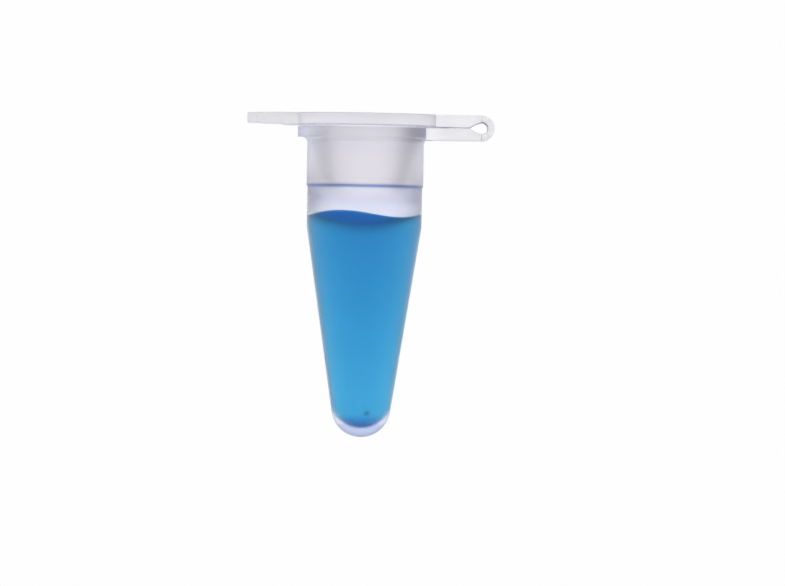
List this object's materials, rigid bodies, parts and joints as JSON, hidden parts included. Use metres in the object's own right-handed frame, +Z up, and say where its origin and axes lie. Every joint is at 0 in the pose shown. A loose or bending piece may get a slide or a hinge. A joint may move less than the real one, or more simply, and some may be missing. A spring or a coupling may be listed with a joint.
{
  "type": "microcentrifuge tube",
  "caption": "Small thin-walled conical sample tube with a collar, a flat plug cap on a looped strap hinge, and liquid inside.",
  "frame": {"origin": "on the tube's axis, in the plane of the collar's underside, where the tube hangs in a rack", "axes": "+Z up the tube's axis towards the cap, +X from the axis to the hinge, the thumb tab at -X"},
  "size_m": [0.0132, 0.0082, 0.0173],
  "materials": {
    "tube_plastic": "clear natural polypropylene, glossy",
    "cap_plastic": "natural polypropylene, satin",
    "strap_plastic": "natural polypropylene, bent thin",
    "blue_sample": "clear blue liquid"
  },
  "bodies": {
    "tube": {"tube_body": "tube_plastic", "rim_collar": "tube_plastic", "collar_arm": "tube_plastic", "sample_liquid": "blue_sample"},
    "link_1": {"strap_link_1": "strap_plastic"},
    "link_2": {"strap_link_2": "strap_plastic"},
    "link_3": {"strap_link_3": "strap_plastic"},
    "cap": {"cap_disc": "cap_plastic", "sealing_plug": "cap_plastic", "thumb_tab": "cap_plastic", "cap_arm": "cap_plastic"}
  },
  "joints": [
    {"name": "strap_bend_1", "type": "hinge", "parent": "tube", "child": "link_1", "pos_m": [0.0064, 0, 0.00009], "axis": [0, 1, 0], "range_deg": [0, 45]},
    {"name": "strap_bend_2", "type": "hinge", "parent": "link_1", "child": "link_2", "pos_m": [0.00668, 0, 0.00038], "axis": [0, 1, 0], "range_deg": [0, 45]},
    {"name": "strap_bend_3", "type": "hinge", "parent": "link_2", "child": "link_3", "pos_m": [0.00668, 0, 0.00079], "axis": [0, 1, 0], "range_deg": [0, 45]},
    {"name": "strap_bend_4", "type": "hinge", "parent": "link_3", "child": "cap", "pos_m": [0.0064, 0, 0.00108], "axis": [0, 1, 0], "range_deg": [0, 45]}
  ],
  "couplings": [
    {"joint": "strap_bend_2", "follows": "strap_bend_1", "ratio": 1},
    {"joint": "strap_bend_3", "follows": "strap_bend_1", "ratio": 1},
    {"joint": "strap_bend_4", "follows": "strap_bend_1", "ratio": 1}
  ]
}
